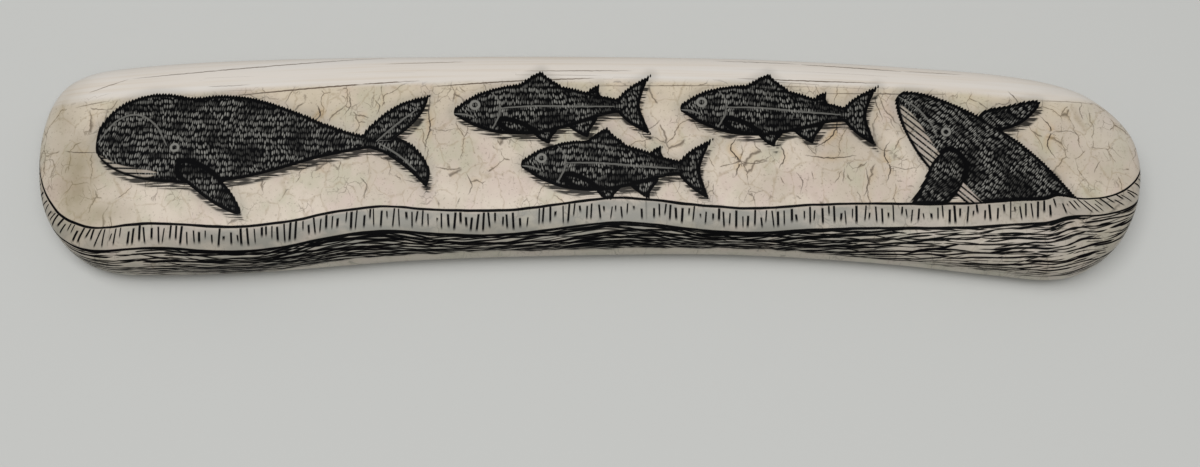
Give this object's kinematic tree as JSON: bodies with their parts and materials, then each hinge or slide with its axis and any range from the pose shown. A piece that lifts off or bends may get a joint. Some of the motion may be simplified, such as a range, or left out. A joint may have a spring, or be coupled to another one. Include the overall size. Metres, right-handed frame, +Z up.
{
  "type": "engraved walrus tusk",
  "caption": "Polished lengthwise slab of walrus tusk with a gentle bow, ground flat underneath and rounded along its rim, with an inked engraving on its face.",
  "frame": {"origin": "under the middle of the slab, on the flat surface that it rests on", "axes": "+X along the length of the tusk, +Y towards its outer, convex edge, +Z up through the thickness, out of the engraved face"},
  "size_m": [0.1956, 0.0413, 0.0131],
  "materials": {
    "ivory": "hand-polished walrus ivory with a soft gloss: a smooth pale outer dentine along one edge, crackled beige inner dentine, and an engraved design filled with black ink"
  },
  "bodies": {
    "root": {"tusk": "ivory"}
  },
  "joints": []
}
